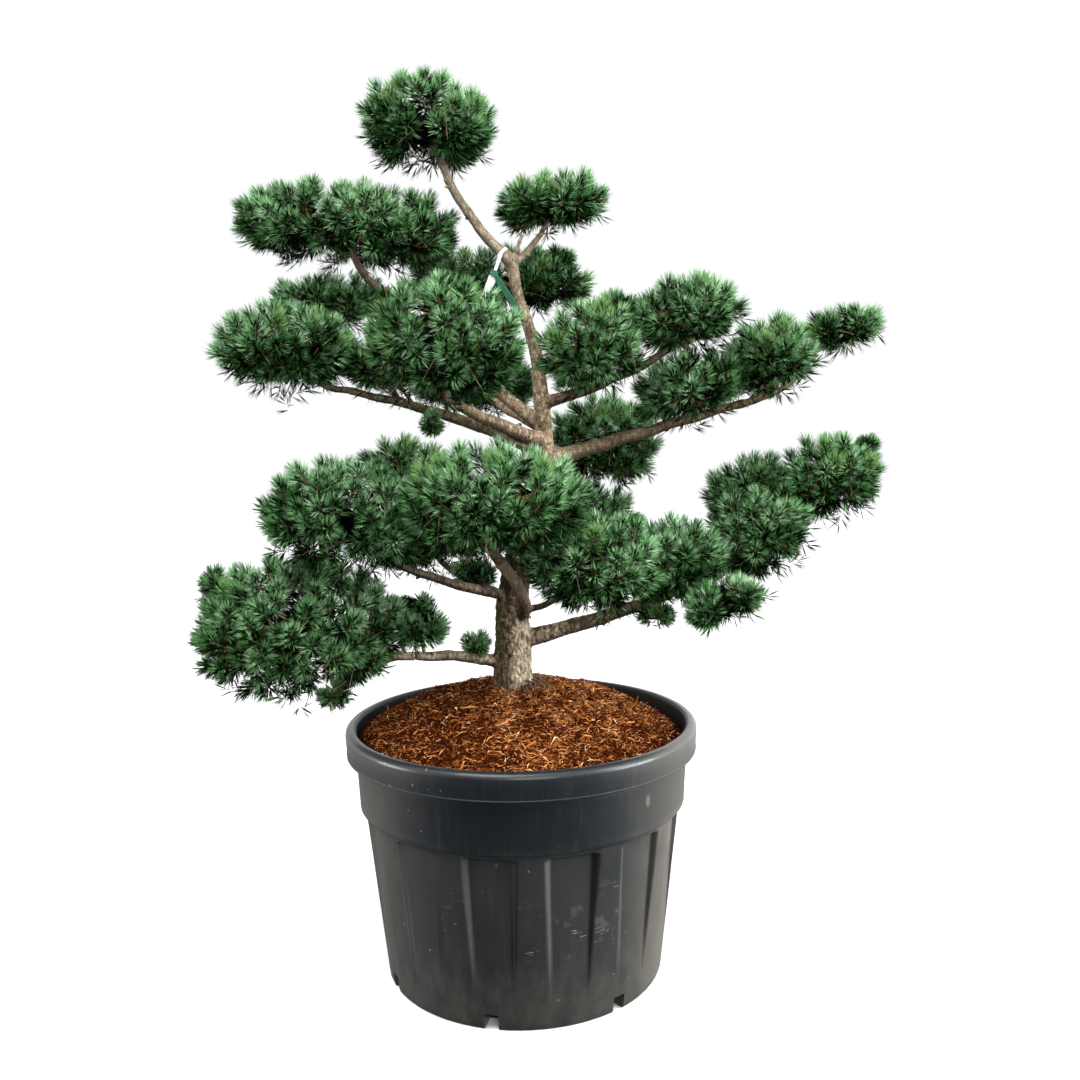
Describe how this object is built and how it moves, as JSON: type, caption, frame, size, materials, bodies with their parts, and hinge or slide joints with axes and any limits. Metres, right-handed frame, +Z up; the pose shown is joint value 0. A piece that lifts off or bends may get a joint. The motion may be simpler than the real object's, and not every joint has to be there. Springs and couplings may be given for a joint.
{
  "type": "japanese white pine in a nursery container",
  "caption": "Cloud-pruned japanese white pine: a crooked trunk with boughs that end in clipped pads of needles, standing in a large round ribbed nursery container.",
  "frame": {"origin": "centre of the container's flat underside, on the surface that it stands on", "axes": "+Z up the trunk, +X to the right and +Y to the back, seen from the pictured front"},
  "size_m": [1.5983, 0.907, 2.043],
  "materials": {
    "container_plastic": "moulded black plastic, satin on the rim and scuffed on the body",
    "bark_mulch": "loose shredded bark",
    "pine_bark": "grey-beige flaking bark",
    "pine_needles": "waxy blue-green needles",
    "tie_ribbon": "thin green film",
    "tag_plastic": "plain white plastic strip"
  },
  "bodies": {
    "root": {"container": "container_plastic", "potting_soil": "bark_mulch", "trunk": "pine_bark", "bough_low_left": "pine_bark", "bough_low_right": "pine_bark", "branch_low_right_near": "pine_bark", "branch_low_right_far": "pine_bark", "bough_low_front": "pine_bark", "bough_low_front_left": "pine_bark", "bough_low_front_right": "pine_bark", "bough_low_back": "pine_bark", "bough_low_back_left": "pine_bark", "bough_mid_left_front": "pine_bark", "bough_mid_left": "pine_bark", "branch_mid_left_back": "pine_bark", "bough_upper_left": "pine_bark", "bough_mid_right_upper": "pine_bark", "branch_mid_right_near": "pine_bark", "bough_mid_right_lower": "pine_bark", "branch_right_lower_near": "pine_bark", "branch_right_lower_far": "pine_bark", "bough_mid_back": "pine_bark", "bough_mid_back_left": "pine_bark", "bough_upper_back": "pine_bark", "bough_low_upper_left": "pine_bark", "branch_low_right_upper": "pine_bark", "branch_fork": "pine_bark", "leader_left": "pine_bark", "leader_right": "pine_bark", "foliage_top": "pine_needles", "foliage_upper_right": "pine_needles", "foliage_upper_back": "pine_needles", "foliage_upper_left": "pine_needles", "foliage_mid_left_front": "pine_needles", "foliage_mid_left": "pine_needles", "foliage_mid_left_back": "pine_needles", "foliage_mid_right_near": "pine_needles", "foliage_mid_right": "pine_needles", "foliage_right_lower_near": "pine_needles", "foliage_right_lower": "pine_needles", "foliage_right_lower_far": "pine_needles", "foliage_mid_back": "pine_needles", "foliage_mid_back_left": "pine_needles", "foliage_low_front": "pine_needles", "foliage_low_front_left": "pine_needles", "foliage_low_front_right": "pine_needles", "foliage_low_back": "pine_needles", "foliage_low_back_left": "pine_needles", "foliage_low_right_near": "pine_needles", "foliage_low_right": "pine_needles", "foliage_low_right_far": "pine_needles", "foliage_low_left": "pine_needles", "foliage_trunk_shoot": "pine_needles", "foliage_low_left_inner": "pine_needles", "foliage_low_upper_left": "pine_needles", "foliage_low_right_upper": "pine_needles", "foliage_low_right_under": "pine_needles", "foliage_mid_left_inner": "pine_needles", "tag": "tag_plastic", "tag_ribbon": "tie_ribbon"}
  },
  "joints": []
}
